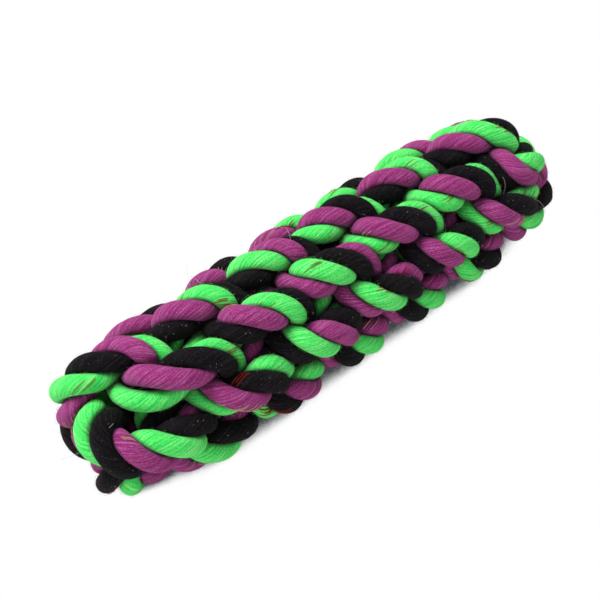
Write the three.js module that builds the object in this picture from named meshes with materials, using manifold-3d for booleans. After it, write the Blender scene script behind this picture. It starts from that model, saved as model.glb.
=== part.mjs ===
// Rope dog toy: a solid chewing stick knotted from two soft cotton ropes, each laid up from a
// green, a purple and a black strand. Both ropes cross at the middle of the far face, and their
// four ends are crowned over one another, always the same way round, layer upon layer, until
// the cut ends are tucked in under the last crown, at the near face.
// The stick lies along X, near face at the low end, and stands on the XY plane with Z up.
import * as THREE from "three";
import { mergeVertices } from "three/addons/utils/BufferGeometryUtils.js";
import Module from "manifold-3d";

const wasm = await Module();
wasm.setup();

// Driving dimensions, in millimetres
const rope_diameter = 16.5;
const strand_diameter = 6.8;
const lay_length = 30;
const layer_height = 15.6;
const pass_offset = 7.9;
const bight_reach = 19;
const cut_end_tuck = 4;
const crown_rise = 3;
const squeezed_rope = 9.6;
const strand_margin = 1.35;
const strand_gap = 0.34;
const flat_depth = 0.7;

// Counts and angles of the knot
const layers = 12;
const working_ends = 4;
const layer_turn = THREE.MathUtils.degToRad(45);
const first_column = THREE.MathUtils.degToRad(67.5);

// How the rope is followed
const points_per_lay = 12;
const outer_ring_steps = 2;
const inner_ring_steps = 3;
const section_sides = 5;
const samples_per_bight = 18;
const samples_per_pass = 6;
const centre_shares = [1, 0.66, 0.33];
const own_stretches_apart = 3;
const radius_halvings = 10;

// How far the cotton gives way, as shares of a whole push
const bight_squareness_share = 0.66;
const loose_crown_share = 1.15;
const push_share = 0.3;
const keep_shape_share = 0.45;
const keep_place_share = 0.03;
const settling_rounds = 72;
const rounds_per_search = 8;
const easing_rounds = 8;
const easing_share = 0.87;
const refinings = 4;

// How far round a spot its neighbours are looked for, as shares of a diameter
const rope_neighbours_share = 2;
const pushing_neighbours_share = 1.4;
const strand_neighbours_share = 2.5;
const easing_neighbours_share = 1.2;

const strand_colours = { purple: 0x96327d, black: 0x17161a, green: 0x35e04a };
const strand_order = Object.keys(strand_colours);

// The strand on the near side of each bight's crest, by working end and layer, where it shows
const leading_strands = [
  { 2: "purple", 3: "purple", 5: "green", 6: "black", 8: "purple", 10: "green", 11: "purple" },
  { 2: "purple", 4: "purple", 5: "green", 7: "purple", 8: "black", 10: "purple" },
  { 1: "black", 4: "purple", 6: "purple", 7: "green", 9: "purple", 10: "green", 12: "purple" },
  { 1: "purple", 3: "purple", 4: "black", 6: "green", 8: "green", 9: "purple", 11: "green" },
];

// Bights that the hand left uneven: turned round the stick, in degrees, and drawn along it
const uneven_bights = [
  { end: 3, layer: 1, turn: -12, along_share: 0 },
  { end: 1, layer: 2, turn: -10, along_share: 0.1 },
  { end: 3, layer: 11, turn: -25, along_share: 0.8 },
  { end: 2, layer: 12, turn: -27, along_share: -0.1 },
  { end: 1, layer: 12, turn: 15, along_share: -0.3 },
];

// What follows from the driving dimensions
const crossing_step = layer_height / 2;
const half_chord_angle = (Math.PI - layer_turn) / 2;
const half_corner_angle = layer_turn / 2;
const corner_radius = Math.hypot(pass_offset, pass_offset);
const corner_reach = corner_radius * Math.cos(half_corner_angle);
const corner_aside = corner_radius * Math.sin(half_corner_angle);
const strand_circle = (rope_diameter - strand_diameter) / 2;
const strand_spacing_angle = (2 * Math.PI) / strand_order.length;
const lead_angle = strand_spacing_angle / 2;

// A point at a distance along the stick, a radius and an angle up from its front, moved sideways
function round_stick(along, radius, angle, aside) {
  return new THREE.Vector3(
    along,
    aside * Math.sin(angle) - radius * Math.cos(angle),
    radius * Math.sin(angle) + aside * Math.cos(angle),
  );
}

// The column in which a working end lies after a number of crowns
function column_angle(end, layer) {
  return first_column - (end * Math.PI) / 2 - layer * (Math.PI - layer_turn);
}

// One crossing through the stick: in deep at one corner of the crown, out shallow at the other,
// with the last crown, that of the near face, loose and proud because nothing presses on it
function pass_points(end, layer) {
  const middle = column_angle(end, layer) - half_chord_angle;
  const offset = layer ? pass_offset : pass_offset * loose_crown_share;
  const foot = layer ? layer * layer_height : -crown_rise;
  const start = layer ? -offset : -offset + cut_end_tuck;
  const points = [];
  for (let i = 0; i <= samples_per_pass; i++) {
    const across = THREE.MathUtils.lerp(start, offset, i / samples_per_pass);
    const done = THREE.MathUtils.clamp((across + offset) / (2 * offset), 0, 1);
    const depth = crossing_step * (1 - THREE.MathUtils.smoothstep(done, 0, 1));
    points.push(round_stick(foot + depth, offset, middle, -across));
  }
  return points;
}

// One bight round the outside, from a shallow corner to the deep corner of the next crown
function bight_points(end, layer) {
  const uneven = uneven_bights.find((bight) => bight.end === end && bight.layer === layer);
  const { turn: skew, along_share } = uneven ?? { turn: 0, along_share: 0 };
  const last = layer === layers;
  const low = layer > 1 ? (layer - 1) * layer_height : -crown_rise;
  const deep_steps = last ? 2 + (end % 2) : 3;
  const high = (layer - 1) * layer_height + deep_steps * crossing_step;
  const points = [];
  for (let i = 1; i < samples_per_bight; i++) {
    const turn = Math.PI * (i / samples_per_bight - 0.5);
    const rise = Math.sign(turn) * Math.abs(Math.sin(turn)) ** bight_squareness_share;
    const bulge = Math.cos(turn) ** bight_squareness_share;
    const angle = column_angle(end, layer) + THREE.MathUtils.degToRad(skew) * bulge;
    const along = (low + high) / 2 + ((high - low) / 2) * rise + layer_height * along_share * bulge;
    const slack = layer === 1 && turn < 0 ? loose_crown_share : 1;
    const radius = corner_reach * slack * (1 - bulge) + bight_reach * bulge;
    const aside = last && turn > 0 ? 0 : -corner_aside * slack * Math.sin(turn);
    const point = round_stick(along, radius, angle, aside);
    point.crest = i * 2 === samples_per_bight ? layer : undefined;
    points.push(point);
  }
  if (last) {
    for (const share of centre_shares) {
      points.push(round_stick(high, corner_reach * share, column_angle(end, layer), 0));
    }
  }
  return points;
}

// A working end's whole way, from its tucked cut end to the middle of the far face
function end_points(end) {
  const points = pass_points(end, 0);
  for (let layer = 1; layer <= layers; layer++) {
    points.push(...bight_points(end, layer));
    if (layer < layers) points.push(...pass_points(end, layer));
  }
  return points.map((point) => Object.assign(point, { end }));
}

// Even steps along a line of points, with the steps at which its crests come
function even_steps(points, step) {
  const reached = [0];
  for (let i = 1; i < points.length; i++) {
    reached.push(reached[i - 1] + points[i].distanceTo(points[i - 1]));
  }
  const count = Math.round(reached.at(-1) / step);
  const line = [];
  for (let k = 0, i = 0; k <= count; k++) {
    const target = (reached.at(-1) * k) / count;
    while (i < points.length - 2 && reached[i + 1] < target) i++;
    const share = (target - reached[i]) / (reached[i + 1] - reached[i]);
    line.push(points[i].clone().lerp(points[i + 1], share));
  }
  const crests = [];
  points.forEach((point, i) => {
    if (point.crest === undefined) return;
    const at = Math.round((reached[i] / reached.at(-1)) * count);
    crests.push({ at, layer: point.crest, end: point.end });
  });
  return { line, crests };
}

// Directions square to a line, carried along it without twisting
function square_frames(line) {
  const frames = [];
  let normal = new THREE.Vector3(1, 0, 0);
  line.forEach((point, i) => {
    const ahead = line[Math.min(i + 1, line.length - 1)];
    const behind = line[Math.max(i - 1, 0)];
    const tangent = ahead.clone().sub(behind).normalize();
    normal = normal.clone().addScaledVector(tangent, -normal.dot(tangent)).normalize();
    frames.push({ tangent, normal, binormal: tangent.clone().cross(normal) });
  });
  return frames;
}

// The lay's angle at every step of a rope, so that each crest shows the strand it should
function lay_angles(line, crests, frames) {
  const step_turn = (2 * Math.PI) / points_per_lay;
  const marks = [];
  for (const { at, layer, end } of crests) {
    const outward = new THREE.Vector3(0, line[at].y, line[at].z);
    const facing = Math.atan2(outward.dot(frames[at].binormal), outward.dot(frames[at].normal));
    const before = marks.at(-1);
    const natural = before ? before.angle + (at - before.at) * step_turn : facing;
    const strand = leading_strands[end][layer];
    const lead = end < working_ends / 2 ? lead_angle : -lead_angle;
    const wanted = facing + strand_order.indexOf(strand) * strand_spacing_angle + lead;
    const full_turns = Math.round((natural - wanted) / (2 * Math.PI));
    marks.push({ at, angle: strand ? wanted + full_turns * 2 * Math.PI : natural });
  }
  return line.map((_, i) => {
    const next = marks.findIndex((mark) => mark.at > i);
    if (next === 0) return marks[0].angle + (i - marks[0].at) * step_turn;
    if (next < 0) return marks.at(-1).angle + (i - marks.at(-1).at) * step_turn;
    const [from, to] = [marks[next - 1], marks[next]];
    return THREE.MathUtils.mapLinear(i, from.at, to.at, from.angle, to.angle);
  });
}

// A rope's own line, from one tucked end over the far face to the other
function rope_line(name, first_end, second_end) {
  const points = [...end_points(first_end), ...end_points(second_end).reverse()];
  const { line, crests } = even_steps(points, lay_length / points_per_lay);
  console.log(`${name} ${((line.length - 1) * line[0].distanceTo(line[1])).toFixed(0)} mm long`);
  return { name, way: line, crests };
}

// The three strands of a rope, as lines that wind round its own and keep to its side of others
function rope_strands({ name, way, crests }, ropes) {
  const frames = square_frames(way);
  const angles = lay_angles(way, crests, frames);
  const others = way.map((point, i) =>
    ropes.flatMap((rope) =>
      rope.way.filter(
        (other, j) =>
          (rope.way !== way || Math.abs(j - i) > points_per_lay / 2) &&
          other.distanceTo(point) < rope_diameter * rope_neighbours_share,
      ),
    ),
  );
  return strand_order.map((colour, number) => ({
    name: `${name}_${colour}_strand`,
    colour,
    way: way.map((point, i) => {
      const angle = angles[i] - number * strand_spacing_angle;
      const place = point.clone();
      place.addScaledVector(frames[i].normal, strand_circle * Math.cos(angle));
      place.addScaledVector(frames[i].binormal, strand_circle * Math.sin(angle));
      for (const other of others[i]) {
        const towards = other.clone().sub(point);
        const room = towards.length() / 2 - strand_margin;
        towards.normalize();
        const beyond = place.clone().sub(point).dot(towards) - room;
        if (beyond > 0) place.addScaledVector(towards, -beyond);
      }
      return place;
    }),
  }));
}

// The pairs of steps, on different strands or far apart on one, that lie within a distance
function close_pairs(steps, reach) {
  const pairs = [];
  for (let i = 0; i < steps.length; i++) {
    const a = steps[i];
    for (let j = i + 1; j < steps.length; j++) {
      const b = steps[j];
      if (Math.abs(a.place.x - b.place.x) > reach) continue;
      if (a.line === b.line && j - i < points_per_lay / 2) continue;
      if (a.place.distanceToSquared(b.place) < reach * reach) pairs.push([a, b]);
    }
  }
  return pairs;
}

// Lets lines push one another aside, as soft cotton does when the knot is drawn tight
function settle(lines, thickness, floor) {
  const steps = [];
  for (const line of lines) {
    line.steps = line.way.map((home) => ({ line, home, place: home.clone() }));
    steps.push(...line.steps);
  }
  const half_way = (a, b) => a.clone().add(b).multiplyScalar(0.5);
  for (const { steps: own } of lines) {
    for (let i = 1; i < own.length - 1; i++) {
      own[i].bend = own[i].home.clone().sub(half_way(own[i - 1].home, own[i + 1].home));
    }
  }
  let pairs = [];
  for (let round = 0; round < settling_rounds; round++) {
    if (round % rounds_per_search === 0) {
      pairs = close_pairs(steps, thickness * pushing_neighbours_share);
    }
    for (const step of steps) step.push = new THREE.Vector3();
    for (const [a, b] of pairs) {
      const apart = b.place.clone().sub(a.place);
      const distance = apart.length();
      if (distance >= thickness) continue;
      apart.multiplyScalar((push_share * (thickness - distance)) / distance);
      b.push.add(apart);
      a.push.sub(apart);
    }
    for (const { steps: own } of lines) {
      for (let i = 1; i < own.length - 1; i++) {
        const kept = half_way(own[i - 1].place, own[i + 1].place).add(own[i].bend);
        own[i].push.addScaledVector(kept.sub(own[i].place), keep_shape_share);
      }
    }
    for (const step of steps) {
      step.push.addScaledVector(step.home.clone().sub(step.place), keep_place_share);
      step.place.add(step.push);
      step.place.z = Math.max(step.place.z, floor);
    }
  }
  for (const line of lines) line.way = line.steps.map((step) => step.place);
}

// The rings of a strand: closer together round the outside, where the stick shows them, and at
// every step in the tight spots, where a straight facet would cut through a neighbour
function choose_rings({ way, tight }) {
  const rings = [];
  let next = 0;
  way.forEach((place, index) => {
    if (index < next && index + 1 < way.length && !tight.has(index)) return;
    rings.push({ place });
    const outer = Math.hypot(place.y, place.z) > corner_radius;
    next = index + (outer ? outer_ring_steps : inner_ring_steps);
  });
  return rings;
}

// Distance from a point to a straight stretch
function stretch_distance(point, { from, to }) {
  const along = to.clone().sub(from);
  const share = point.clone().sub(from).dot(along) / along.lengthSq();
  return along.multiplyScalar(THREE.MathUtils.clamp(share, 0, 1)).add(from).distanceTo(point);
}

// Spreads every ring of every strand to its full radius, or half way to its neighbours
function spread_rings(strands) {
  const stretches = [];
  for (const strand of strands) {
    strand.rings = choose_rings(strand);
    for (let i = 0; i + 1 < strand.rings.length; i++) {
      const [from, to] = [strand.rings[i].place, strand.rings[i + 1].place];
      stretches.push({ strand, i, from, to, middle: from.clone().lerp(to, 0.5) });
    }
  }
  const reach = strand_diameter * strand_neighbours_share;
  for (const strand of strands) {
    const frames = square_frames(strand.rings.map((ring) => ring.place));
    strand.rings.forEach((ring, i) => {
      const near = stretches.filter(
        (other) =>
          other.middle.distanceToSquared(ring.place) < reach * reach &&
          (other.strand !== strand || Math.abs(other.i + 0.5 - i) > own_stretches_apart),
      );
      ring.directions = [];
      ring.radii = [];
      for (let k = 0; k < section_sides; k++) {
        const angle = (2 * Math.PI * k) / section_sides;
        const way = frames[i].normal.clone().multiplyScalar(Math.cos(angle));
        way.addScaledVector(frames[i].binormal, Math.sin(angle));
        let [low, high] = [0, strand_diameter / 2];
        for (let halving = 0; halving < radius_halvings; halving++) {
          const radius = (low + high) / 2;
          const corner = ring.place.clone().addScaledVector(way, radius);
          const clear = near.every(
            (other) => stretch_distance(corner, other) - radius > strand_gap,
          );
          if (clear) low = radius;
          else high = radius;
        }
        ring.directions.push(way);
        ring.radii.push(low);
      }
    });
  }
}

// Corners of the spaces that two strands' flat faces both claim
function shared_corners(strands) {
  const solids = strands.map((strand) => to_solid(strand_geometry(strand)));
  const corners = [];
  solids.forEach((solid, a) => {
    for (let b = a + 1; b < solids.length; b++) {
      const shared = solid.intersect(solids[b]);
      if (shared.volume() <= 0) continue;
      const { vertProperties } = shared.getMesh();
      for (let i = 0; i < vertProperties.length; i += 3) {
        const at = new THREE.Vector3().fromArray(vertProperties, i);
        corners.push({ at, owners: [strands[a], strands[b]] });
      }
    }
  });
  return corners;
}

// Draws the strands in wherever their flat faces cut into one another, until none do
function ease_crossings(strands) {
  const reach = strand_diameter * easing_neighbours_share;
  let corners = shared_corners(strands);
  for (let round = 0; round < easing_rounds && corners.length; round++) {
    for (const strand of strands) {
      const own = corners.filter(({ owners }) => owners.includes(strand));
      for (const ring of strand.rings) {
        const near = own.filter(({ at }) => at.distanceTo(ring.place) < reach);
        ring.radii = ring.radii.map((radius, k) => {
          const facing = ({ at }) => at.clone().sub(ring.place).dot(ring.directions[k]) > 0;
          return near.some(facing) ? radius * easing_share : radius;
        });
      }
    }
    corners = shared_corners(strands);
  }
  return corners;
}

// Gives the strands their thickness, with more rings wherever they can't otherwise pass clear
function thicken(strands) {
  for (const strand of strands) strand.tight = new Set();
  for (let refining = 0; refining < refinings; refining++) {
    spread_rings(strands);
    const corners = ease_crossings(strands);
    if (!corners.length) return;
    for (const { at, owners } of corners) {
      for (const { way, tight } of owners) {
        way.forEach((place, index) => {
          if (place.distanceTo(at) < strand_diameter) tight.add(index);
        });
      }
    }
  }
  throw new Error("the strands can't pass clear of one another");
}

// A closed tube through a strand's rings, with a flat cap at either end
function strand_geometry({ rings }) {
  const corners = rings.flatMap(({ place, directions, radii }) =>
    directions.map((way, k) => place.clone().addScaledVector(way, radii[k])),
  );
  const faces = [];
  for (let i = 0; i + 1 < rings.length; i++) {
    for (let k = 0; k < section_sides; k++) {
      const [a, b] = [i * section_sides + k, i * section_sides + ((k + 1) % section_sides)];
      faces.push(a, b, a + section_sides, b, b + section_sides, a + section_sides);
    }
  }
  const far = (rings.length - 1) * section_sides;
  for (let k = 1; k + 1 < section_sides; k++) {
    faces.push(0, k + 1, k, far, far + k, far + k + 1);
  }
  return new THREE.BufferGeometry().setFromPoints(corners).setIndex(faces);
}

// A closed geometry as a solid that can be cut, and back
function to_solid(geometry) {
  const shape = geometry.clone();
  shape.deleteAttribute("normal");
  shape.deleteAttribute("uv");
  const merged = mergeVertices(shape);
  const vertProperties = new Float32Array(merged.attributes.position.array);
  const triVerts = new Uint32Array(merged.index.array);
  return new wasm.Manifold(new wasm.Mesh({ numProp: 3, vertProperties, triVerts }));
}

function to_geometry(solid) {
  const { vertProperties, triVerts } = solid.getMesh();
  const geometry = new THREE.BufferGeometry();
  geometry.setAttribute("position", new THREE.BufferAttribute(vertProperties, 3));
  geometry.setIndex(new THREE.BufferAttribute(triVerts, 1));
  geometry.computeVertexNormals();
  return geometry;
}

// The toy: both ropes followed, settled, given thickness and stood on their flattened underside
const lowest_line = bight_reach * Math.sin(first_column);
const ropes = [rope_line("rope_a", 0, 2), rope_line("rope_b", 1, 3)];
settle(ropes, squeezed_rope, -lowest_line);
const strands = ropes.flatMap((rope) => rope_strands(rope, ropes));
settle(strands, strand_diameter, flat_depth - lowest_line - strand_circle);
thicken(strands);

const box = new THREE.Box3();
for (const strand of strands) {
  strand.geometry = strand_geometry(strand);
  strand.geometry.computeBoundingBox();
  box.union(strand.geometry.boundingBox);
}
const middle = box.getCenter(new THREE.Vector3());
const size = box.getSize(new THREE.Vector3());
const ground = new THREE.BoxGeometry(2 * size.x, 2 * size.y, size.z);
ground.translate(0, 0, -size.z / 2);
const ground_solid = to_solid(ground);

const toy = new THREE.Group();
for (const { name, colour, geometry } of strands) {
  geometry.translate(-middle.x, -middle.y, -box.min.z - flat_depth);
  const cut = to_solid(geometry).subtract(ground_solid);
  const material = new THREE.MeshStandardMaterial({
    color: strand_colours[colour],
    roughness: 0.9,
    metalness: 0,
  });
  const mesh = new THREE.Mesh(to_geometry(cut), material);
  mesh.name = name;
  toy.add(mesh);
}
const radii = strands.flatMap((strand) => strand.rings.flatMap((ring) => ring.radii));
console.log(`least strand radius ${Math.min(...radii).toFixed(2)} mm`);
console.log(`stick ${size.x.toFixed(1)} by ${size.y.toFixed(1)} by ${size.z.toFixed(1)} mm`);

export default toy;
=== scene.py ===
# %% [markdown]
# # A rope chew stick for a dog
# This lesson dresses a plain CAD model of a knotted cotton stick. The real toy is nothing but
# rope: two soft cotton ropes, each laid up from a green, a purple and a black strand, cross at
# the far end, and their four ends are crowned over one another, layer upon layer, until they
# are tucked in at the near end. We follow the ropes through the knot, let the strands press one
# another aside as soft cotton does, and only then give them their skin, yarn and fuzz.

import math

import bpy
import numpy as np
from mathutils import Matrix, Vector


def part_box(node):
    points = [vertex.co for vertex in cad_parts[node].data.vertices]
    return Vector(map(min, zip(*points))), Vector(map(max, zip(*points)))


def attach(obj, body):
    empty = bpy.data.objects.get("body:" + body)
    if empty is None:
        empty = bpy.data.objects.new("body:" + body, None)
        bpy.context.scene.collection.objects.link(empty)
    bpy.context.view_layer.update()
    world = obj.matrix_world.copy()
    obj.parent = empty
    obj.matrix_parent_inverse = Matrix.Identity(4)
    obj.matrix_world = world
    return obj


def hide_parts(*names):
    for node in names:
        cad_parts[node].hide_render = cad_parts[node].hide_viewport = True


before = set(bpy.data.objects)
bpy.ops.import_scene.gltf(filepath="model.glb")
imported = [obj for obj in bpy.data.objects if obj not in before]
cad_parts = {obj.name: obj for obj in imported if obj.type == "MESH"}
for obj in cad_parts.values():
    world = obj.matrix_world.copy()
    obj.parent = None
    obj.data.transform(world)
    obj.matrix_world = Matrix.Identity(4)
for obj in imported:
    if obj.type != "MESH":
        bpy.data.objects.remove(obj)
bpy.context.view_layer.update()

# %% [markdown]
# ## The camera
# The photograph looks down on the stick from about 50 degrees up and from close by, less than
# 0.4 m off, with the stick running away to the upper right. We place the camera from these
# angles before anything else, so that every later step can be judged in its view.

# %% Camera
MM = 0.001
IMAGE_PIXELS = 600
CAMERA_ELEVATION = math.radians(51.3)
STICK_BEARING = math.radians(37.2)
CAMERA_DISTANCE = 368 * MM
PIXELS_PER_METRE = 2661
CAMERA_ROLL = math.radians(3.2)
AIM_HEIGHT = 27 * MM
AIM_SHIFT_PIXELS = (33.8, 21.8)
SENSOR_WIDTH = 36
CLIP_START = 10 * MM


def make_camera():
    right = Vector((math.cos(STICK_BEARING), -math.sin(STICK_BEARING), 0))
    level = Vector((math.sin(STICK_BEARING), math.cos(STICK_BEARING), 0))
    forward = level * math.cos(CAMERA_ELEVATION) - Vector((0, 0, math.sin(CAMERA_ELEVATION)))
    up = right.cross(forward)
    turn = Matrix.Rotation(CAMERA_ROLL, 3, forward)
    right, up = turn @ right, turn @ up
    aim = Vector((0, 0, AIM_HEIGHT))
    aim -= right * AIM_SHIFT_PIXELS[0] / PIXELS_PER_METRE
    aim -= up * AIM_SHIFT_PIXELS[1] / PIXELS_PER_METRE
    data = bpy.data.cameras.new("camera")
    data.sensor_width = SENSOR_WIDTH
    data.lens = SENSOR_WIDTH * PIXELS_PER_METRE * CAMERA_DISTANCE / IMAGE_PIXELS
    data.clip_start = CLIP_START
    camera = bpy.data.objects.new("camera", data)
    bpy.context.collection.objects.link(camera)
    axes = Matrix((right, up, -forward)).transposed().to_4x4()
    camera.matrix_world = Matrix.Translation(aim - forward * CAMERA_DISTANCE) @ axes
    bpy.context.scene.camera = camera
    return camera


camera = make_camera()
print("lens", round(camera.data.lens), "mm, at", [round(1000 * v) for v in camera.location])

# %% [markdown]
# ## The way of the ropes
# A crown knot is a lattice: in every layer each working end crosses the stick, comes out at the
# foot of the crown, climbs round the outside in a bight, and dives in over its neighbour one
# layer on, an eighth of a turn further round. So the route is a rule, not a drawing: a pass
# through the stick, a bight round it, and so on, twelve times for each of the four ends.

# %% Sizes of the knot
ROPE_DIAMETER = 16.5 * MM
STRAND_DIAMETER = 6.8 * MM
LAY_LENGTH = 30 * MM
LAYER_HEIGHT = 15.6 * MM
PASS_OFFSET = 7.9 * MM
BIGHT_REACH = 19 * MM
CUT_END_TUCK = 4 * MM
CROWN_RISE = 3 * MM
SQUEEZED_ROPE = 9.6 * MM
STRAND_MARGIN = 1.35 * MM
FLAT_DEPTH = 0.7 * MM
LAYERS = 12
WORKING_ENDS = 4
LAYER_TURN = math.radians(45)
FIRST_COLUMN = math.radians(67.5)
POINTS_PER_LAY = 12
BIGHT_STEPS = 18
PASS_STEPS = 6
BIGHT_SQUARENESS = 0.66
LOOSE_CROWN = 1.15
LAST_DIVE = (1, 0.66, 0.33)

STRANDS = ["purple", "black", "green"]
CROSSING_STEP = LAYER_HEIGHT / 2
CORNER_RADIUS = math.hypot(PASS_OFFSET, PASS_OFFSET)
CORNER_REACH = CORNER_RADIUS * math.cos(LAYER_TURN / 2)
CORNER_ASIDE = CORNER_RADIUS * math.sin(LAYER_TURN / 2)
STRAND_CIRCLE = (ROPE_DIAMETER - STRAND_DIAMETER) / 2
STRAND_SPACING = 2 * math.pi / len(STRANDS)
print(LAYERS, "layers stand", round(1000 * LAYERS * LAYER_HEIGHT), "mm high")

# %% What the photograph shows of the bights
# The strand on the near side of each bight's crest, by working end and layer, where it shows
LEADING = [
    {2: "purple", 3: "purple", 5: "green", 6: "black", 8: "purple", 10: "green", 11: "purple"},
    {2: "purple", 4: "purple", 5: "green", 7: "purple", 8: "black", 10: "purple"},
    {1: "black", 4: "purple", 6: "purple", 7: "green", 9: "purple", 10: "green", 12: "purple"},
    {1: "purple", 3: "purple", 4: "black", 6: "green", 8: "green", 9: "purple", 11: "green"},
]

# Bights that the hand left uneven, by working end and layer: turned round the stick, in
# degrees, and drawn along it, as a share of a layer
UNEVEN = {
    (3, 1): (-12, 0),
    (1, 2): (-10, 0.1),
    (3, 11): (-25, 0.8),
    (2, 12): (-27, -0.1),
    (1, 12): (15, -0.3),
}
print("bights with a known leading strand:", sum(len(layers) for layers in LEADING))


# %% A point round the stick
def round_stick(along, radius, angle, aside):
    """A point along the stick, out from its axis and up from its front, moved sideways."""
    y = aside * math.sin(angle) - radius * math.cos(angle)
    z = radius * math.sin(angle) + aside * math.cos(angle)
    return (along, y, z)


def smoothstep(t):
    """An even start and finish, from 0 to 1."""
    t = min(max(t, 0), 1)
    return t * t * (3 - 2 * t)


print("a rope at a bight's crest lies", round(1000 * BIGHT_REACH), "mm out from the axis")

# %% A pass through the stick and a bight round it
def column_angle(end, layer):
    """The side of the stick on which a working end climbs in one layer."""
    return FIRST_COLUMN - end * math.pi / 2 - layer * (math.pi - LAYER_TURN)


def pass_points(end, layer):
    """The way of a working end through the stick, from its foot to its bight."""
    middle = column_angle(end, layer) - (math.pi - LAYER_TURN) / 2
    offset = PASS_OFFSET if layer else PASS_OFFSET * LOOSE_CROWN
    foot = layer * LAYER_HEIGHT if layer else -CROWN_RISE
    start = -offset if layer else -offset + CUT_END_TUCK
    points = []
    for i in range(PASS_STEPS + 1):
        across = start + (offset - start) * i / PASS_STEPS
        depth = CROSSING_STEP * (1 - smoothstep((across + offset) / (2 * offset)))
        points.append(round_stick(foot + depth, offset, middle, -across))
    return points


def bight_points(end, layer):
    """The way of a working end round the outside, and in over its neighbour."""
    skew, along_share = UNEVEN.get((end, layer), (0, 0))
    last = layer == LAYERS
    low = (layer - 1) * LAYER_HEIGHT if layer > 1 else -CROWN_RISE
    high = (layer - 1) * LAYER_HEIGHT + ((2 + end % 2) if last else 3) * CROSSING_STEP
    points = []
    for i in range(1, BIGHT_STEPS):
        turn = math.pi * (i / BIGHT_STEPS - 0.5)
        rise = math.copysign(abs(math.sin(turn)) ** BIGHT_SQUARENESS, math.sin(turn))
        bulge = math.cos(turn) ** BIGHT_SQUARENESS
        angle = column_angle(end, layer) + math.radians(skew) * bulge
        along = (low + high) / 2 + (high - low) / 2 * rise + LAYER_HEIGHT * along_share * bulge
        slack = LOOSE_CROWN if layer == 1 and turn < 0 else 1
        radius = CORNER_REACH * slack * (1 - bulge) + BIGHT_REACH * bulge
        aside = 0 if last and turn > 0 else -CORNER_ASIDE * slack * math.sin(turn)
        points.append(round_stick(along, radius, angle, aside))
    if last:
        for share in LAST_DIVE:
            points.append(round_stick(high, CORNER_REACH * share, column_angle(end, layer), 0))
    return points


def end_points(end):
    """A working end's way from its tucked cut end to the far face, and its crests."""
    points = pass_points(end, 0)
    crests = []
    for layer in range(1, LAYERS + 1):
        crests.append((len(points) + BIGHT_STEPS // 2 - 1, layer, end))
        points += bight_points(end, layer)
        if layer < LAYERS:
            points += pass_points(end, layer)
    return points, crests


# %% A whole rope, in even steps
def rope_line(first_end, second_end):
    """Two working ends as one rope, in even steps, and the marks of its crests."""
    there, crests = end_points(first_end)
    back, back_crests = end_points(second_end)
    total = len(there) + len(back)
    crests = crests + [(total - 1 - at, layer, end) for at, layer, end in back_crests[::-1]]
    points = np.array(there + back[::-1])
    reached = np.append(0, np.cumsum(np.linalg.norm(np.diff(points, axis=0), axis=1)))
    count = math.floor(reached[-1] / (LAY_LENGTH / POINTS_PER_LAY) + 0.5)
    targets = reached[-1] * np.arange(count + 1) / count
    line = np.stack([np.interp(targets, reached, points[:, k]) for k in range(3)], axis=1)
    marks = [
        (math.floor(reached[at] / reached[-1] * count + 0.5), layer, end)
        for at, layer, end in crests
    ]
    return line, marks


ropes = [rope_line(0, 2), rope_line(1, 3)]
for line, _ in ropes:
    print("rope", round(1000 * np.linalg.norm(np.diff(line, axis=0), axis=1).sum()), "mm long")

# %% [markdown]
# ## Drawn tight
# Set out by rule, the ropes would run through one another wherever they cross. Cotton gives
# way, and each rope flattens and shifts until all fit. Blender's cloth tools are slow for this,
# and a short relaxation does it: points that are too close push apart, each line keeps its
# curves, and a weak pull holds it near its place. The floor holds the underside level.

# %% Lines that push one another aside
PUSH = 0.3
KEEP_SHAPE = 0.45
KEEP_PLACE = 0.03
SETTLING_ROUNDS = 72
ROUNDS_PER_SEARCH = 8
SEARCH_REACH = 1.4
POINTS_AT_ONCE = 400


def close_pairs(points, owner, reach):
    """Points of different lines, or far apart along one, that are within reach."""
    found = []
    for i in range(0, len(points), POINTS_AT_ONCE):
        part = points[i : i + POINTS_AT_ONCE]
        square = ((part[:, None, :] - points[None, :, :]) ** 2).sum(2)
        a, b = np.nonzero(square < reach * reach)
        a = a + i
        keep = (b > a) & ((owner[a] != owner[b]) | (b - a >= POINTS_PER_LAY / 2))
        found.append(np.stack([a[keep], b[keep]]))
    return np.concatenate(found, axis=1)


def settle(lines, thickness, floor):
    """The lines, pushed apart to a thickness where they can give way."""
    home = np.concatenate(lines)
    owner = np.concatenate([np.full(len(line), k) for k, line in enumerate(lines)])
    inner = np.ones(len(home), bool)
    ends = np.cumsum([len(line) for line in lines])
    inner[np.concatenate([ends - 1, ends - [len(line) for line in lines]])] = False
    inside = np.nonzero(inner)[0]
    bend = home[inside] - (home[inside - 1] + home[inside + 1]) / 2
    place = home.copy()
    for turn in range(SETTLING_ROUNDS):
        if turn % ROUNDS_PER_SEARCH == 0:
            a, b = close_pairs(place, owner, thickness * SEARCH_REACH)
        push = np.zeros_like(place)
        apart = place[b] - place[a]
        distance = np.linalg.norm(apart, axis=1)
        near = distance < thickness
        apart = apart[near] * (PUSH * (thickness - distance[near]) / distance[near])[:, None]
        np.add.at(push, b[near], apart)
        np.add.at(push, a[near], -apart)
        kept = (place[inside - 1] + place[inside + 1]) / 2 + bend - place[inside]
        push[inside] += KEEP_SHAPE * kept
        push += KEEP_PLACE * (home - place)
        place = place + push
        place[:, 2] = np.maximum(place[:, 2], floor)
    return np.split(place, ends[:-1])


lowest_line = BIGHT_REACH * math.sin(FIRST_COLUMN)
rope_ways = settle([line for line, _ in ropes], SQUEEZED_ROPE, -lowest_line)
print("the ropes moved up to", round(1000 * max(
    np.abs(way - line).max() for way, (line, _) in zip(rope_ways, ropes)), 1), "mm")

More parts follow.
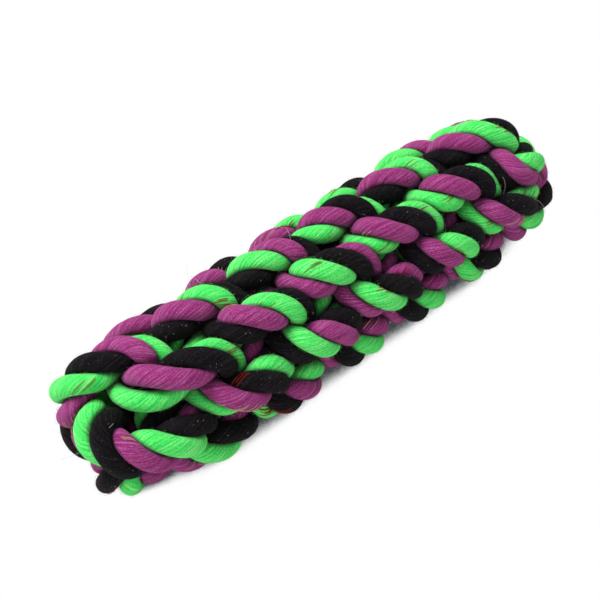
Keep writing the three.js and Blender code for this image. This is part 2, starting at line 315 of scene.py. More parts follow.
# %% [markdown]
# ## Three strands to a rope
# Each rope is laid: its strands wind round one another once in 30 mm, right-handed. We carry a
# pair of directions along the rope without twisting them, and turn each strand's place round
# that pair. At the crest of each bight the turn is nudged so that the colour the photograph
# shows there comes to the top. Where another rope presses, the strands stay on their own side.

# %% Directions carried along a line
def square_frames(line):
    """The direction of a line at its points, and two directions square to it, untwisted."""
    ahead = np.append(line[1:], line[-1:], axis=0)
    behind = np.append(line[:1], line[:-1], axis=0)
    tangents = ahead - behind
    tangents /= np.linalg.norm(tangents, axis=1)[:, None]
    normals = np.empty_like(line)
    normal = np.array([1.0, 0, 0])
    for i, tangent in enumerate(tangents):
        normal = normal - tangent * normal.dot(tangent)
        normal = normal / math.sqrt(normal.dot(normal))
        normals[i] = normal
    return tangents, normals, np.cross(tangents, normals)


def lay_angles(line, crests, normals, binormals):
    """The turn of the strands along a rope, nudged at each crest to the known strand."""
    step_turn = 2 * math.pi / POINTS_PER_LAY
    ats, angles = [], []
    for at, layer, end in crests:
        outward = np.array([0, line[at][1], line[at][2]])
        facing = math.atan2(outward.dot(binormals[at]), outward.dot(normals[at]))
        natural = angles[-1] + (at - ats[-1]) * step_turn if ats else facing
        strand = LEADING[end].get(layer)
        if strand:
            lead = (1 if end < WORKING_ENDS / 2 else -1) * STRAND_SPACING / 2
            wanted = facing + STRANDS.index(strand) * STRAND_SPACING + lead
            turns = math.floor((natural - wanted) / (2 * math.pi) + 0.5)
            natural = wanted + turns * 2 * math.pi
        ats.append(at)
        angles.append(natural)
    ats = [0, *ats, len(line) - 1]
    angles = [angles[0] - ats[1] * step_turn, *angles, angles[-1] + (ats[-1] - ats[-2]) * step_turn]
    return np.interp(np.arange(len(line)), ats, angles)


print("a strand goes round once in", POINTS_PER_LAY, "points of the rope")

# %% The strands of one rope
NEIGHBOUR_REACH = 2 * ROPE_DIAMETER


def rope_strands(which):
    """The lines of a rope's three strands, kept on their own side of what presses on it."""
    line, crests = rope_ways[which], ropes[which][1]
    _, normals, binormals = square_frames(line)
    angles = lay_angles(line, crests, normals, binormals)
    strands = []
    for number in range(len(STRANDS)):
        turn = angles - number * STRAND_SPACING
        offset = np.cos(turn)[:, None] * normals + np.sin(turn)[:, None] * binormals
        strands.append(STRAND_CIRCLE * offset)
    for i, point in enumerate(line):
        others = []
        for rope, way in enumerate(rope_ways):
            gaps = way - point
            near = np.linalg.norm(gaps, axis=1) < NEIGHBOUR_REACH
            if rope == which:
                near &= np.abs(np.arange(len(way)) - i) > POINTS_PER_LAY / 2
            others += gaps[near].tolist()
        for strand in strands:
            x, y, z = strand[i].tolist()
            for gx, gy, gz in others:
                length = math.sqrt(gx * gx + gy * gy + gz * gz)
                beyond = (x * gx + y * gy + z * gz) / length - length / 2 + STRAND_MARGIN
                if beyond > 0:
                    x -= beyond * gx / length
                    y -= beyond * gy / length
                    z -= beyond * gz / length
            strand[i] = (x, y, z)
    return [line + strand for strand in strands]


strand_ways = settle(
    rope_strands(0) + rope_strands(1), STRAND_DIAMETER, FLAT_DEPTH - lowest_line - STRAND_CIRCLE
)
strand_names = [f"rope_{rope}_{colour}_strand" for rope in "ab" for colour in STRANDS]
for name, way in zip(strand_names, strand_ways):
    print(name, round(1000 * np.linalg.norm(np.diff(way, axis=0), axis=1).sum()), "mm")

# %% [markdown]
# ## In the CAD's place
# Each strand has to lie where its CAD solid lies. That frame has its origin in the middle of the
# stick and on the floor, so we move our lines there once, all together, and print how far each
# solid stands beyond its line: about a strand's radius on every side.

# %% Set in the CAD frame
LINE_REST = 2.65 * MM
every = np.concatenate(strand_ways)
cad_middle = np.mean([sum(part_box(name), Vector()) / 2 for name in strand_names], axis=0)
own_middle = np.mean([(way.min(0) + way.max(0)) / 2 for way in strand_ways], axis=0)
move = cad_middle - own_middle
move[2] = LINE_REST - every[:, 2].min()
strand_ways = [way + move for way in strand_ways]
stick_axis = np.mean(np.concatenate(rope_ways)[:, 2] + move[2])
print("the stick's axis is", round(1000 * stick_axis, 1), "mm up")
for name, way in zip(strand_names, strand_ways):
    low, high = (np.array(corner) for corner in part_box(name))
    print(name, "CAD beyond the line, mm:", np.round(1000 * (way.min(0) - low), 1),
          np.round(1000 * (high - way.max(0)), 1))

# %% [markdown]
# ## Pulled by hand
# The toy in the photograph isn't quite straight or even. Its near crown is pulled out and a
# little aside, and its far end is drawn tighter. The pull fades out along the stick.

# %% The uneven ends
NEAR_PULL = np.array([-4.5, 2.5, 0]) * MM
NEAR_FROM, NEAR_FADE = 55 * MM, 50 * MM
FAR_TIGHTER = 0.1
FAR_FROM, FAR_FADE = 70 * MM, 35 * MM


def eased(values):
    """Smoothstep for a whole array, one value to a row."""
    values = values.clip(0, 1)[:, None]
    return values**2 * (3 - 2 * values)


def pulled(line):
    """A strand's line with the near crown drawn out and the far end tightened."""
    near = eased((-line[:, 0] - NEAR_FROM) / NEAR_FADE)
    far = eased((line[:, 0] - FAR_FROM) / FAR_FADE)
    axis = np.array([0, 0, stick_axis])
    across = (line - axis) * [0, 1, 1]
    moved = line + NEAR_PULL * near - across * FAR_TIGHTER * far
    moved[:, 2] = np.maximum(moved[:, 2], LINE_REST)
    return moved


strand_ways = [pulled(way) for way in strand_ways]
print("the stick is now", round(1000 * np.ptp(np.concatenate(strand_ways)[:, 0])), "mm long")

# %% [markdown]
# ## Skin
# A strand is a soft bundle of yarn, so its section isn't a circle. Where it lies free it is
# round and plump, and where a neighbour presses, both flatten against the plane half way
# between them. We go along each strand in steps of about a millimetre and, for every direction
# round it, take the smaller of its free radius and the way to that half-way plane, rounded off
# where the two meet. The floor flattens the lowest bights in the same way.

# %% Finer lines
FREE_RADIUS = 3.85 * MM
FINE_STEP = 1.05 * MM
RING_POINTS = 34
CREASE_GAP = 0.06 * MM
SMOOTHING_ROUNDS = 3
DENSE_STEPS = 8


def finer(line, step):
    """A smooth Catmull-Rom line through the points of a coarse one, in even steps."""
    for _ in range(SMOOTHING_ROUNDS):
        line = line.copy()
        line[1:-1] = line[1:-1] / 2 + (line[:-2] + line[2:]) / 4
    padded = np.concatenate([2 * line[:1] - line[1:2], line, 2 * line[-1:] - line[-2:-1]])
    p0, p1, p2, p3 = padded[:-3], padded[1:-2], padded[2:-1], padded[3:]
    dense = []
    for t in np.arange(0, 1, 1 / DENSE_STEPS):
        dense.append(
            0.5 * (2 * p1 + (p2 - p0) * t + (2 * p0 - 5 * p1 + 4 * p2 - p3) * t**2
                   + (3 * p1 - p0 - 3 * p2 + p3) * t**3)
        )
    dense = np.stack(dense, axis=1).reshape(-1, 3)
    dense = np.append(dense, line[-1:], axis=0)
    reached = np.append(0, np.cumsum(np.linalg.norm(np.diff(dense, axis=0), axis=1)))
    targets = np.linspace(0, reached[-1], round(reached[-1] / step) + 1)
    return np.stack([np.interp(targets, reached, dense[:, k]) for k in range(3)], axis=1)


fine_ways = [finer(way, FINE_STEP) for way in strand_ways]
print("rings:", [len(way) for way in fine_ways])

# %% Radii round every ring
ROUNDING = 8
PRESS_REACH = 2.6 * FREE_RADIUS
OWN_SKIP = round(9 * MM / FINE_STEP)
RINGS_AT_ONCE = 200
NOT_FACING = 1e-9
FAR_OFF = 1


def ring_radii(which, directions):
    """For each ring and direction: the free radius, or less where a neighbour presses."""
    line = fine_ways[which]
    radii = np.empty(directions.shape[:2])
    all_points = np.concatenate(fine_ways)
    all_owner = np.concatenate([np.full(len(way), k) for k, way in enumerate(fine_ways)])
    all_place = np.concatenate([np.arange(len(way)) for way in fine_ways])
    for start in range(0, len(line), RINGS_AT_ONCE):
        part = line[start : start + RINGS_AT_ONCE]
        gaps = all_points[None, :, :] - part[:, None, :]
        near = (gaps**2).sum(2) < PRESS_REACH**2
        for k in range(len(part)):
            i = start + k
            keep = near[k] & ((all_owner != which) | (np.abs(all_place - i) > OWN_SKIP))
            towards = gaps[k][keep]
            if not len(towards):
                radii[i] = FREE_RADIUS
                continue
            facing = directions[i] @ towards.T
            half = (towards**2).sum(1)[None, :] / 2
            limit = np.where(facing > NOT_FACING, half / np.maximum(facing, NOT_FACING), FAR_OFF)
            limit = limit.min(axis=1) - CREASE_GAP
            radii[i] = (limit**-ROUNDING + FREE_RADIUS**-ROUNDING) ** (-1 / ROUNDING)
    return radii


print("a ring looks", round(1000 * PRESS_REACH, 1), "mm round itself for neighbours")

# %% The skin of a strand
UNEVEN_SHARE = 0.03
UNEVEN_RINGS = 9
SOFTENING_ROUNDS = 2
TIP_SHARE = 0.02


def skin(which):
    """The rings of points round a strand, a little uneven and softened, and their angles."""
    line = fine_ways[which]
    tangents, normals, binormals = square_frames(line)
    angles = np.arange(RING_POINTS) * 2 * math.pi / RING_POINTS
    directions = (np.cos(angles)[None, :, None] * normals[:, None, :]
                  + np.sin(angles)[None, :, None] * binormals[:, None, :])
    radii = ring_radii(which, directions)
    swelling = np.random.default_rng(which).normal(size=len(line) + UNEVEN_RINGS - 1)
    swelling = np.convolve(swelling, np.ones(UNEVEN_RINGS), "valid") / math.sqrt(UNEVEN_RINGS)
    radii *= 1 + UNEVEN_SHARE * swelling.clip(-1, 1)[:, None]
    for _ in range(SOFTENING_ROUNDS):
        radii[1:-1] = radii[1:-1] / 2 + (radii[:-2] + radii[2:]) / 4
        radii = radii / 2 + (np.roll(radii, 1, axis=1) + np.roll(radii, -1, axis=1)) / 4
    ends = np.minimum(np.arange(len(line)), np.arange(len(line))[::-1]) * FINE_STEP
    cap = np.sqrt(np.clip(1 - (1 - ends / FREE_RADIUS).clip(0) ** 2, TIP_SHARE, 1))
    points = line[:, None, :] + directions * (radii * cap[:, None])[:, :, None]
    points[:, :, 2] = np.maximum(points[:, :, 2], 0)
    return points, angles


skins = [skin(which) for which in range(len(strand_ways))]
radii_of = [np.linalg.norm(points - line[:, None], axis=2)
            for (points, _), line in zip(skins, fine_ways)]
print("strand radii from", round(1000 * min(radii.min() for radii in radii_of), 1), "to",
      round(1000 * max(radii.max() for radii in radii_of), 1), "mm")

# %% [markdown]
# ## Yarn
# The strand's yarns run round it in a steep spiral, against the rope's lay. A pattern that is to
# follow them needs its own coordinates: we store at every point where it lies once the strand is
# straightened and its twist undone. Fibres are then simply straight lines along the third axis.

# %% What is seen and touched
INNER_RADIUS = 17 * MM
INNER_HALF_LENGTH = 96 * MM
EXPOSED_DEPTH = 4 * MM
FLOOR_CLEARANCE = 2 * MM


def exposure(points):
    """0 inside the knot or on the floor, and 1 on the outside that is seen and touched."""
    out = np.hypot(points[:, 1], points[:, 2] - stick_axis) - INNER_RADIUS
    past = np.abs(points[:, 0]) - INNER_HALF_LENGTH
    outside = (np.maximum(out, past) / EXPOSED_DEPTH).clip(0, 1)
    return outside * (points[:, 2] > FLOOR_CLEARANCE)


seen_share = np.mean(exposure(skins[0][0].reshape(-1, 3)))
print("the first strand is outside over", round(100 * seen_share), "percent of its skin")

# %% Meshes of the strands
YARN_PITCH = 22 * MM


def strand_mesh(name, points, angles):
    """A closed tube through the rings, with its straightened coordinates and its exposure."""
    rings, sides = points.shape[:2]
    vertices = points.reshape(-1, 3)
    ring = np.arange(rings - 1)[:, None] * sides
    side = np.arange(sides)[None, :]
    after = (side + 1) % sides
    quads = np.stack([ring + side, ring + after, ring + sides + after, ring + sides + side], axis=2)
    faces = quads.reshape(-1, 4).tolist()
    faces.append(list(range(sides))[::-1])
    faces.append([(rings - 1) * sides + k for k in range(sides)])
    mesh = bpy.data.meshes.new(name)
    mesh.from_pydata(vertices.tolist(), [], faces)
    mesh.update()
    mesh.polygons.foreach_set("use_smooth", [True] * len(faces))
    along = np.arange(rings) * FINE_STEP
    turn = angles[None, :] + 2 * math.pi * along[:, None] / YARN_PITCH
    yarn = np.stack(
        [FREE_RADIUS * np.cos(turn), FREE_RADIUS * np.sin(turn), np.repeat(along[:, None], sides, 1)],
        axis=2,
    )
    attribute = mesh.attributes.new("yarn", "FLOAT_VECTOR", "POINT")
    attribute.data.foreach_set("vector", yarn.reshape(-1))
    exposed = mesh.attributes.new("exposed", "FLOAT", "POINT")
    exposed.data.foreach_set("value", exposure(vertices))
    piece = bpy.data.objects.new(name, mesh)
    bpy.context.collection.objects.link(piece)
    return piece


strands = [
    strand_mesh(name.replace("_strand", "_yarn"), *skin_of)
    for name, skin_of in zip(strand_names, skins)
]
for name, piece in zip(strand_names, strands):
    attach(piece, "root")
    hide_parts(name)
    print(piece.name, 2 * len(piece.data.polygons), "triangles")

# %% [markdown]
# ## Cotton
# The strands are dyed spun cotton: bundles of soft yarn, never polished. Such cotton scatters
# light back from countless fibres, so it has no gloss, only a faint sheen along the turned
# edges, and its colour breaks up into paler and darker fibres. Noise that is stretched along
# the yarn coordinates draws them. A real fibre, 0.02 mm thick, is too fine to show, so bundles of
# 0.3 mm stand for the fibres. Deep between the strands little light comes back, and a painted
# shade, from Ambient Occlusion, darkens the colour there.

# %% A colour, and a node
def linear(code):
    """A colour written as an sRGB hex value, for a shader."""
    channels = [int(code[i : i + 2], 16) / 255 for i in (1, 3, 5)]
    return (*[c / 12.92 if c < 0.04045 else ((c + 0.055) / 1.055) ** 2.4 for c in channels], 1)


def add(tree, kind, inputs=(), stops=(), **settings):
    """A node with its settings, its sockets linked or set, and the stops of its colour ramp."""
    node = tree.nodes.new(kind)
    for key, value in settings.items():
        if key[0] == "_":
            setattr(node, key[1:], value)
        else:
            node.inputs[key.replace("_", " ")].default_value = value
    for socket, value in dict(inputs).items():
        if isinstance(value, bpy.types.NodeSocket):
            tree.links.new(value, node.inputs[socket])
        else:
            node.inputs[socket].default_value = value
    for at, (position, code) in enumerate(stops):
        elements = node.color_ramp.elements
        element = elements[at] if at < 2 else elements.new(position)
        element.position, element.color = position, linear(code)
    return node


print("half-bright grey is", round(linear("#808080")[0], 3), "in linear light")

# %% Spun cotton
# How often a pattern changes in a metre, across the yarn and along it: bundles of fibres 0.3 mm
# wide and 4 mm long, plies 0.7 mm wide and 11 mm long, and round specks of fuzz 0.3 mm wide
FIBRES_PER_METRE = (3400, 3400, 260)
PLIES_PER_METRE = (1500, 1500, 90)
FUZZ_PER_METRE = (3200, 3200, 3200)
PLY_SHARE = 0.6
DARK_AT, BODY_AT, PALE_AT = 0.37, 0.5, 0.63
FIBRE_HEIGHT = 0.4 * MM
CREASE_SHADE_REACH = 8 * MM
# The painted shade in the creases: its reach, and its grey from deep in to open
CREASE_SHADE_STOPS = [(0.05, "#3a3a3a"), (0.75, "#ffffff")]


def yarn_noise(tree, yarn, per_metre, detail, roughness):
    """Noise in the yarn coordinates, stretched along the fibres."""
    scaled = add(tree, "ShaderNodeVectorMath", {0: yarn, 1: per_metre}, _operation="MULTIPLY")
    return add(tree, "ShaderNodeTexNoise", {"Vector": scaled.outputs[0]},
               Scale=1, Detail=detail, Roughness=roughness).outputs["Fac"]


def cotton(name, dark, body, pale, sheen):
    """Soft, matt, with fibres along the yarn in three tones of one dye, and painted crease shade."""
    material = bpy.data.materials.new(name)
    material.use_nodes = True
    tree = material.node_tree
    tree.nodes.clear()
    yarn = add(tree, "ShaderNodeAttribute", _attribute_name="yarn").outputs["Vector"]
    fibres = yarn_noise(tree, yarn, FIBRES_PER_METRE, 4, 0.7)
    plies = yarn_noise(tree, yarn, PLIES_PER_METRE, 2, 0.5)
    fuzz = yarn_noise(tree, yarn, FUZZ_PER_METRE, 3, 0.75)
    grain = add(tree, "ShaderNodeMath", {0: fibres, 1: fuzz}, _operation="ADD").outputs[0]
    tone = add(tree, "ShaderNodeMath", {0: plies, 1: PLY_SHARE, 2: grain},
               _operation="MULTIPLY_ADD")
    share = add(tree, "ShaderNodeMath", {0: tone.outputs[0], 1: 2 + PLY_SHARE},
                _operation="DIVIDE")
    colour = add(tree, "ShaderNodeValToRGB", {"Fac": share.outputs[0]},
                 [(DARK_AT, dark), (PALE_AT, pale), (BODY_AT, body)])
    bump = add(tree, "ShaderNodeBump", {"Height": grain}, Strength=0.8, Distance=FIBRE_HEIGHT)
    # Painted shade: Ambient Occlusion darkens the base colour in the creases between strands
    crease_occlusion = add(tree, "ShaderNodeAmbientOcclusion", Distance=CREASE_SHADE_REACH)
    shade = add(tree, "ShaderNodeValToRGB", {"Fac": crease_occlusion.outputs["AO"]}, CREASE_SHADE_STOPS)
    colour_with_painted_shade = add(tree, "ShaderNodeMix",
               {"Factor": 1, 6: colour.outputs["Color"], 7: shade.outputs["Color"]},
               _data_type="RGBA", _blend_type="MULTIPLY")
    shader = add(tree, "ShaderNodeBsdfPrincipled",
                 {"Base Color": colour_with_painted_shade.outputs[2], "Normal": bump.outputs["Normal"]},
                 Roughness=0.9, Sheen_Weight=0.2, Sheen_Roughness=0.5, Specular_IOR_Level=0.1,
                 Sheen_Tint=linear(sheen))
    add(tree, "ShaderNodeOutputMaterial", {"Surface": shader.outputs["BSDF"]})
    return material


# %% The three dyes
cottons = {
    "purple": cotton("purple_spun_cotton", "#4f123f", "#932b6e", "#c274ae", "#d8a0d0"),
    "black": cotton("black_spun_cotton", "#010102", "#070608", "#322b30", "#4a494c"),
    "green": cotton("green_spun_cotton", "#12a046", "#3ae85e", "#b4fba6", "#e0ffd0"),
}
for name, piece in zip(strand_names, strands):
    piece.data.materials.append(cottons[name.split("_")[2]])
    print(piece.name, "is", piece.data.materials[0].name)

# %% [markdown]
# ## Fluff
# Nothing says cotton like its fluff: short fibres that stand off everywhere, and pale lint that
# the black strands show most. Particle hair could make them, but it has no mesh to keep, so
# Geometry Nodes scatter small bowed fibres over the outside, where the stored exposure allows.
# A real fibre is too thin to show, so these are a little thicker. Each is made of a few faces,
# because there are so many. The results are made plain meshes before they join the part.

# %% Loose fibres, dull and in one colour each
def plain(name, code):
    """A single loose fibre is too thin for a pattern: its dye is all that shows."""
    material = bpy.data.materials.new(name)
    material.use_nodes = True
    shader = material.node_tree.nodes["Principled BSDF"]
    shader.inputs["Base Color"].default_value = linear(code)
    shader.inputs["Roughness"].default_value = 0.9
    shader.inputs["Specular IOR Level"].default_value = 0.1
    return material


fluff_colours = {
    "purple": plain("purple_fluff", "#a04a88"),
    "black": plain("black_fluff", "#3c3a3e"),
    "green": plain("green_fluff", "#7de070"),
}
lint_white = plain("white_lint", "#a0a0a6")
print("fibre colours:", [material.name for material in (*fluff_colours.values(), lint_white)])

# %% An empty node group
def group_with(name, floats):
    """An empty node group with a geometry in and out, and named number and material inputs."""
    tree = bpy.data.node_groups.new(name, "GeometryNodeTree")
    sockets = tree.interface
    sockets.new_socket("Geometry", in_out="INPUT", socket_type="NodeSocketGeometry")
    for label in floats:
        sockets.new_socket(label, in_out="INPUT", socket_type="NodeSocketFloat")
    sockets.new_socket("Material", in_out="INPUT", socket_type="NodeSocketMaterial")
    sockets.new_socket("Geometry", in_out="OUTPUT", socket_type="NodeSocketGeometry")
    return tree, add(tree, "NodeGroupInput").outputs


# %% Fibres scattered over a surface
# A fibre of length 1 stands up from the surface and bows over, from its root by way of its
# middle to its tip; the smallest and largest fibre as a share of that
FIBRE_BOW = {"Start": (0, 0, 0), "Middle": (0.15, 0, 0.6), "End": (0.7, 0, 0.75)}
FIBRE_SIZES = (0.4, 1.3)


def scatter_tree():
    """Fibres at random over a mesh, as thick as its exposure, each spun and leaning."""
    tree, given = group_with("Scattered fibres", ["Density", "Length", "Radius", "Lean"])
    exposed = add(tree, "GeometryNodeInputNamedAttribute", Name="exposed")
    density = add(tree, "ShaderNodeMath", {0: exposed.outputs[0], 1: given["Density"]},
                  _operation="MULTIPLY")
    spots = add(tree, "GeometryNodeDistributePointsOnFaces",
                {"Mesh": given["Geometry"], "Density": density.outputs[0]}, Seed=7)
    bow = add(tree, "GeometryNodeCurveQuadraticBezier", FIBRE_BOW, Resolution=3)
    outline = add(tree, "GeometryNodeCurvePrimitiveCircle", {"Radius": given["Radius"]},
                  Resolution=3)
    sized = add(tree, "ShaderNodeVectorMath", {0: (1, 1, 1), "Scale": given["Length"]},
                _operation="SCALE")
    long_bow = add(tree, "GeometryNodeTransform",
                   {"Geometry": bow.outputs[0], "Scale": sized.outputs[0]})
    fibre = add(tree, "GeometryNodeCurveToMesh",
                {"Curve": long_bow.outputs[0], "Profile Curve": outline.outputs[0]})
    placed = add(tree, "GeometryNodeInstanceOnPoints",
                 {"Points": spots.outputs["Points"], "Instance": fibre.outputs[0],
                  "Rotation": spots.outputs["Rotation"]})
    tilt = add(tree, "ShaderNodeCombineXYZ", {"Y": given["Lean"]})
    about = add(tree, "FunctionNodeRandomValue", {"Min": (0, 0, 0), "Max": (0, 0, 2 * math.pi)},
                _data_type="FLOAT_VECTOR", Seed=3)
    spun = add(tree, "GeometryNodeRotateInstances",
               {"Instances": placed.outputs[0], "Rotation": about.outputs["Value"]})
    leaning = add(tree, "GeometryNodeRotateInstances",
                  {"Instances": spun.outputs[0], "Rotation": tilt.outputs[0]})
    varied = add(tree, "FunctionNodeRandomValue", {2: FIBRE_SIZES[0], 3: FIBRE_SIZES[1]}, Seed=5)
    scaled = add(tree, "GeometryNodeScaleInstances",
                 {"Instances": leaning.outputs[0], "Scale": varied.outputs[1]})
    real = add(tree, "GeometryNodeRealizeInstances", {"Geometry": scaled.outputs[0]})
    painted = add(tree, "GeometryNodeSetMaterial",
                  {"Geometry": real.outputs[0], "Material": given["Material"]})
    add(tree, "NodeGroupOutput", {"Geometry": painted.outputs[0]})
    return tree


scatter = scatter_tree()
print(scatter.name, "takes", [item.name for item in scatter.interface.items_tree])

# %% A node group's result as a piece
def made_plain(name, source_mesh, tree, values):
    """The result of a node group on a mesh, as a plain mesh object that rides on the stick."""
    carrier = bpy.data.objects.new("carrier", source_mesh)
    bpy.context.collection.objects.link(carrier)
    modifier = carrier.modifiers.new("nodes", "NODES")
    modifier.node_group = tree
    for item in tree.interface.items_tree:
        if item.in_out == "INPUT" and item.name in values:
            modifier[item.identifier] = values[item.name]
    seen = carrier.evaluated_get(bpy.context.evaluated_depsgraph_get())
    mesh = bpy.data.meshes.new_from_object(seen)
    bpy.data.objects.remove(carrier)
    mesh.name = name
    piece = bpy.data.objects.new(name, mesh)
    bpy.context.collection.objects.link(piece)
    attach(piece, "root")
    print(name, sum(len(face.vertices) - 2 for face in mesh.polygons), "triangles")
    return piece


# %% Fluff and lint on every strand
FLUFF_PER_SQUARE_METRE = 450_000
FLUFF = {"Density": FLUFF_PER_SQUARE_METRE, "Length": 1.2 * MM, "Radius": 0.016 * MM, "Lean": 0.3}
LINT_PER_SQUARE_METRE = {"purple": 6_000, "black": 34_000, "green": 3_000}
LINT = {"Length": 0.55 * MM, "Radius": 0.045 * MM, "Lean": 0.9}

for name, strand in zip(strand_names, strands):
    rope, colour = name.split("_")[1:3]
    fluff = made_plain(f"rope_{rope}_{colour}_fluff", strand.data, scatter,
                       {**FLUFF, "Material": fluff_colours[colour]})
    lint = made_plain(f"rope_{rope}_{colour}_lint", strand.data, scatter, {
        **LINT, "Density": LINT_PER_SQUARE_METRE[colour], "Material": lint_white})

# %% [markdown]
# ## Waste threads
# Cheap cotton yarn is spun with waste from other dyes, and it shows as short red, brown and
# straw-coloured threads, two to four side by side, that follow the fibres. A texture could draw
# them, but threads of their own catch the light. We draw each as a line over the skin, in the
# fibres' direction, and Geometry Nodes turn the lines into round threads.

# %% Round threads along drawn lines
def thread_tree():
    """Every line of a mesh, made a round thread."""
    tree, given = group_with("Round threads", ["Radius"])
    lines = add(tree, "GeometryNodeMeshToCurve", {"Mesh": given["Geometry"]})
    outline = add(tree, "GeometryNodeCurvePrimitiveCircle", {"Radius": given["Radius"]},
                  Resolution=5)
    threads = add(tree, "GeometryNodeCurveToMesh",
                  {"Curve": lines.outputs[0], "Profile Curve": outline.outputs[0]})
    real = add(tree, "GeometryNodeRealizeInstances", {"Geometry": threads.outputs[0]})
    painted = add(tree, "GeometryNodeSetMaterial",
                  {"Geometry": real.outputs[0], "Material": given["Material"]})
    add(tree, "NodeGroupOutput", {"Geometry": painted.outputs[0]})
    return tree


def line_mesh(name, lines):
    """Lines of points as one mesh of edges."""
    mesh = bpy.data.meshes.new(name)
    starts = np.append(0, np.cumsum([len(line) for line in lines]))
    edges = [(i, i + 1) for a, b in zip(starts, starts[1:]) for i in range(a, b - 1)]
    mesh.from_pydata(np.concatenate(lines).tolist(), edges, [])
    return mesh


round_threads = thread_tree()
print(round_threads.name, "takes", [item.name for item in round_threads.interface.items_tree])

# %% A line along the fibres of a strand
LIFT = 0.3 * MM
SINK = LIFT / 3
LINE_POINTS = 9
LAST_RING_SHORT = 1.001


def thread_on(which, ring, angle, length):
    """A line along the fibres from a ring and an angle round it, its ends dipped in the skin."""
    points = skins[which][0]
    line = []
    slope = math.hypot(1, 2 * math.pi * FREE_RADIUS / YARN_PITCH)
    for k in range(LINE_POINTS):
        share = k / (LINE_POINTS - 1)
        along = length * share / slope
        at = min(max(ring + along / FINE_STEP, 0), len(points) - LAST_RING_SHORT)
        side = (angle / (2 * math.pi) - along / YARN_PITCH) % 1 * RING_POINTS
        i, j = int(at), int(side)
        u, v = at - i, side - j
        rows = points[i : i + 2, [j, (j + 1) % RING_POINTS]]
        spot = (rows[0, 0] * (1 - u) + rows[1, 0] * u) * (1 - v)
        spot = spot + (rows[0, 1] * (1 - u) + rows[1, 1] * u) * v
        out = spot - fine_ways[which][i]
        rise = LIFT * (1 - (2 * share - 1) ** 4) - SINK
        line.append(spot + out / np.linalg.norm(out) * rise)
    return np.array(line)


print("a line over the skin has", len(thread_on(0, OWN_SKIP, 0, FREE_RADIUS)), "points")

# %% A spot on the outside, drawn at random
chance = np.random.default_rng(seed=11)


def exposed_spot():
    """A strand, a ring and a side of it, drawn at random until they lie on the outside."""
    while True:
        which = int(chance.integers(len(skins)))
        ring = int(chance.integers(OWN_SKIP, len(skins[which][0]) - OWN_SKIP))
        side = int(chance.integers(RING_POINTS))
        if exposure(skins[which][0][ring, side][None])[0] == 1:
            return which, ring, side


print("rings at each end of a strand that carry no threads:", OWN_SKIP)

# %% Where the waste threads lie
WASTE_GROUPS = 320
THREADS_IN_GROUP = (2, 5)
GROUP_SPREAD_RINGS = 1.5
WASTE_LENGTHS_IN_MM = (3, 7)
# The share of the groups on a strand of each colour that are of each kind
LIKELY_WASTE = {
    "purple": {"red": 0.15, "straw": 0.4},
    "black": {"red": 0.3, "straw": 0.05},
    "green": {"red": 0.6, "brown": 0.3},
}
waste = {"red": [], "brown": [], "straw": []}
for _ in range(WASTE_GROUPS):
    which, ring, side = exposed_spot()
    kinds = LIKELY_WASTE[strand_names[which].split("_")[2]]
    draw = chance.random()
    for kind, share in kinds.items():
        if draw < share:
            break
        draw -= share
    else:
        continue
    for _ in range(int(chance.integers(*THREADS_IN_GROUP))):
        turned = (side + chance.normal()) * 2 * math.pi / RING_POINTS
        length = chance.uniform(*WASTE_LENGTHS_IN_MM) * MM
        first_ring = ring + chance.normal() * GROUP_SPREAD_RINGS
        waste[kind].append(thread_on(which, first_ring, turned, length))
print("waste threads:", {kind: len(lines) for kind, lines in waste.items()})

# %% The waste threads, made round
WASTE_THREADS = {
    "red": (0.12 * MM, "#8e2015"),
    "brown": (0.09 * MM, "#7d5a1c"),
    "straw": (0.1 * MM, "#c9a184"),
}
for kind, (radius, code) in WASTE_THREADS.items():
    threads = made_plain(f"{kind}_waste_threads", line_mesh(kind, waste[kind]), round_threads,
                         {"Radius": radius, "Material": plain(f"{kind}_waste_thread", code)})

# %% [markdown]
# ## Loose hairs
# A toy that lies about picks up a few long pale hairs. Each leaves the rope at one spot, bows out
# and curls aside. They follow nothing, so a formula with a random turn and curl draws them, and
# the same node group as before makes them round.

# %% Pale hairs that stand off
HAIRS = 60
HAIR_LENGTHS = (4 * MM, 10 * MM)
HAIR_LIFT = 0.7 * MM
HAIR_DROP = 1.2 * MM
HAIR_CURL = 0.5
HAIR_RADIUS = 0.045 * MM


def hair_from(which, ring, side):
    """A loose hair that leaves a strand at one spot, bows out and curls aside."""
    start = skins[which][0][ring, side]
    out = start - fine_ways[which][ring]
    out /= np.linalg.norm(out)
    ahead = np.cross(out, chance.normal(size=3))
    ahead /= np.linalg.norm(ahead)
    length = chance.uniform(*HAIR_LENGTHS)
    curl = chance.uniform(-HAIR_CURL, HAIR_CURL) * np.cross(out, ahead)
    share = np.linspace(0, 1, LINE_POINTS)[:, None]
    rise = 4 * HAIR_LIFT * share * (1 - share) - HAIR_DROP * share**2
    line = start + length * (ahead * share + curl * share**2) + out * rise
    line[:, 2] = np.maximum(line[:, 2], HAIR_RADIUS)
    return line


hair_lines = [hair_from(*exposed_spot()) for _ in range(HAIRS)]
hairs = made_plain("white_hairs", line_mesh("hairs", hair_lines), round_threads,
                   {"Radius": HAIR_RADIUS, "Material": plain("white_hair", "#c4c2c6")})

# %% [markdown]
# ## The floor
# The photograph is a cut-out on white that keeps a narrow, dark shadow where the stick touches.
# A plain white floor would show a soft grey shadow far beyond it. So the camera alone sees a
# glowing floor, dark where Ambient Occlusion finds the stick close over it, while all other
# light meets pale paint.

# %% A floor with a cut-out shadow
FLOOR_HALF = 3
FLOOR_BELOW = 0.2 * MM
FLOOR_PAINT = (0.8, 0.8, 0.8, 1)
SHADOW_REACH = 25 * MM
SHADOW_STOPS = [(0.29, "#3e4144"), (0.31, "#ffffff")]
SHADOW_SAMPLES = 24


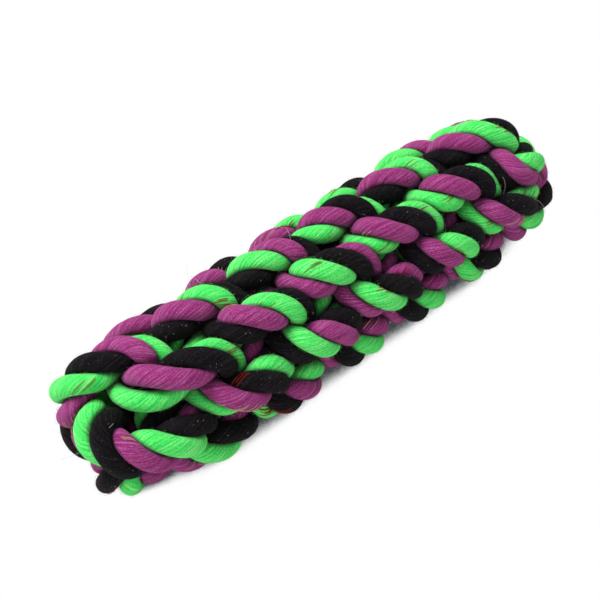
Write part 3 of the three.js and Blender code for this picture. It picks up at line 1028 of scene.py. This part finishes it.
def floor_material():
    """White for the camera, but for a narrow dark shadow."""
    material = bpy.data.materials.new("white_floor")
    material.use_nodes = True
    tree = material.node_tree
    tree.nodes.clear()
    rays = add(tree, "ShaderNodeLightPath")
    paint = add(tree, "ShaderNodeBsdfDiffuse", Color=FLOOR_PAINT)
    open_sky = add(tree, "ShaderNodeAmbientOcclusion", Distance=SHADOW_REACH,
                   _samples=SHADOW_SAMPLES)
    cut_out = add(tree, "ShaderNodeValToRGB", {"Fac": open_sky.outputs["AO"]}, SHADOW_STOPS)
    glow = add(tree, "ShaderNodeEmission", {"Color": cut_out.outputs["Color"]})
    seen = add(tree, "ShaderNodeMixShader", {"Fac": rays.outputs["Is Camera Ray"],
               1: paint.outputs[0], 2: glow.outputs[0]})
    add(tree, "ShaderNodeOutputMaterial", {"Surface": seen.outputs[0]})
    return material


floor_mesh = bpy.data.meshes.new("floor")
corners = [(-FLOOR_HALF, -FLOOR_HALF), (FLOOR_HALF, -FLOOR_HALF), (FLOOR_HALF, FLOOR_HALF),
           (-FLOOR_HALF, FLOOR_HALF)]
floor_mesh.from_pydata([(x, y, -FLOOR_BELOW) for x, y in corners], [], [(0, 1, 2, 3)])
floor_mesh.materials.append(floor_material())
floor = bpy.data.objects.new("floor", floor_mesh)
bpy.context.collection.objects.link(floor)
print("floor:", 2 * FLOOR_HALF, "m wide")

# %% [markdown]
# ## Light
# The stick is lit softly and evenly. A big round lamp over its far side models the strands, a
# weaker one opens the near side, and a pale sky fills the rest. The camera sees that sky as
# white, at strength 1, while the stick gets less of it.

# %% Lamps and sky
SKY_LIGHT = 0.45


def lamp(name, place, size, power):
    """A round area lamp that faces the middle of the floor."""
    data = bpy.data.lights.new(name, "AREA")
    data.shape = "DISK"
    data.size = size
    data.energy = power
    light = bpy.data.objects.new(name, data)
    facing = Vector(place).to_track_quat("Z", "Y").to_matrix().to_4x4()
    light.matrix_world = Matrix.Translation(place) @ facing
    bpy.context.collection.objects.link(light)
    print(name, "lamp:", power, "W from", place)


lamp("key", place=(-0.25, 0.5, 1.0), size=0.6, power=15)
lamp("fill", place=(-0.7, -0.7, 0.7), size=0.8, power=4)
world = bpy.data.worlds.new("sky")
bpy.context.scene.world = world
world.use_nodes = True
sky = world.node_tree.nodes["Background"]
sky.inputs["Color"].default_value = (1, 1, 1, 1)
seen_by = add(world.node_tree, "ShaderNodeLightPath")
strength = add(world.node_tree, "ShaderNodeMapRange",
               {"Value": seen_by.outputs["Is Camera Ray"], "To Min": SKY_LIGHT, "To Max": 1})
world.node_tree.links.new(strength.outputs[0], sky.inputs["Strength"])
bpy.context.scene.view_settings.view_transform = "Standard"
